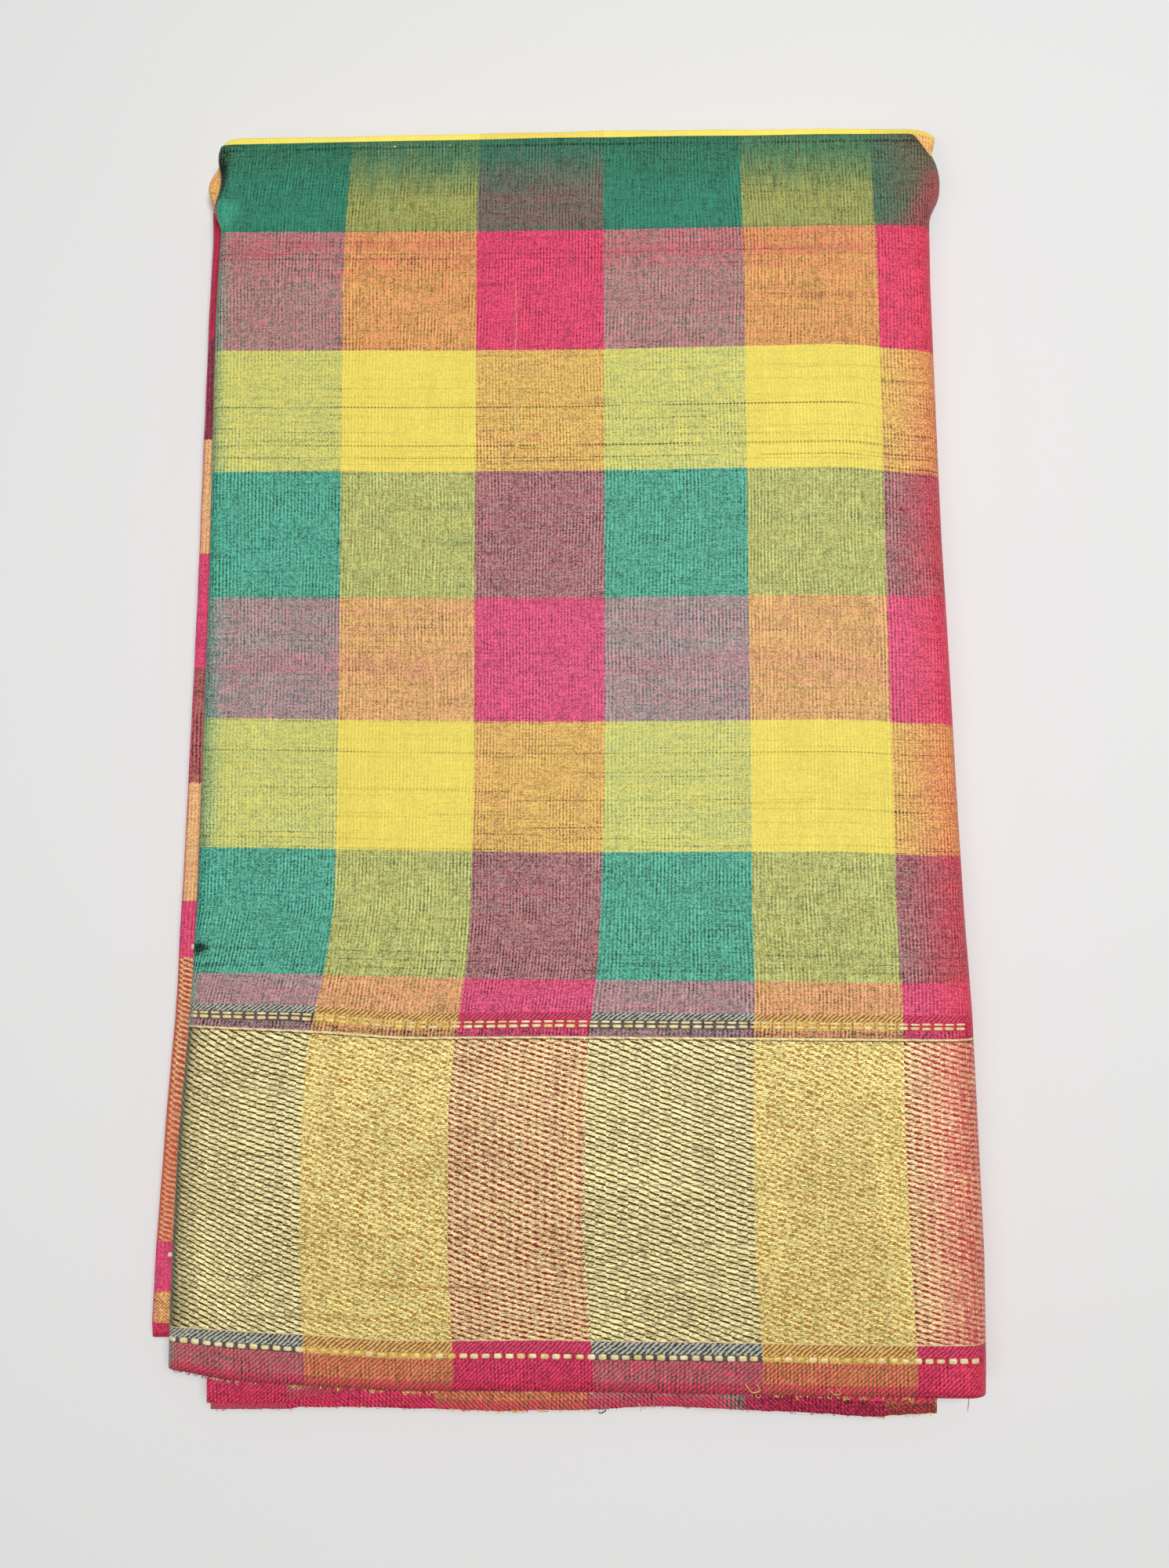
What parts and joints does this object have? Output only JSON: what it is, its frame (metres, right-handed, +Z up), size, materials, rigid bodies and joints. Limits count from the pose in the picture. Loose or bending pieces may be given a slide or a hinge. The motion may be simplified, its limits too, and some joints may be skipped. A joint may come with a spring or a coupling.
{
  "type": "folded saree",
  "caption": "Silk check saree folded flat into a long rectangle, with a broad gold zari border at one end, lying on a surface.",
  "frame": {"origin": "under the middle of the folded saree, on the surface it lies on", "axes": "+Z up, +Y towards the crease that halves the width, +X towards the right-hand fold"},
  "size_m": [0.3846, 0.6, 0.02],
  "materials": {
    "silk_body": "satin",
    "silk_border": "satin",
    "silk_crease": "satin",
    "silk_selvedge": "satin",
    "silk_layers": "satin"
  },
  "bodies": {
    "root": {"outer_layer_body": "silk_body", "outer_layer_border": "silk_border", "lower_fold_body": "silk_body", "lower_fold_border": "silk_border", "back_crease": "silk_crease", "upper_selvedge": "silk_selvedge", "lower_selvedge": "silk_selvedge", "hidden_layers": "silk_layers"}
  },
  "joints": []
}
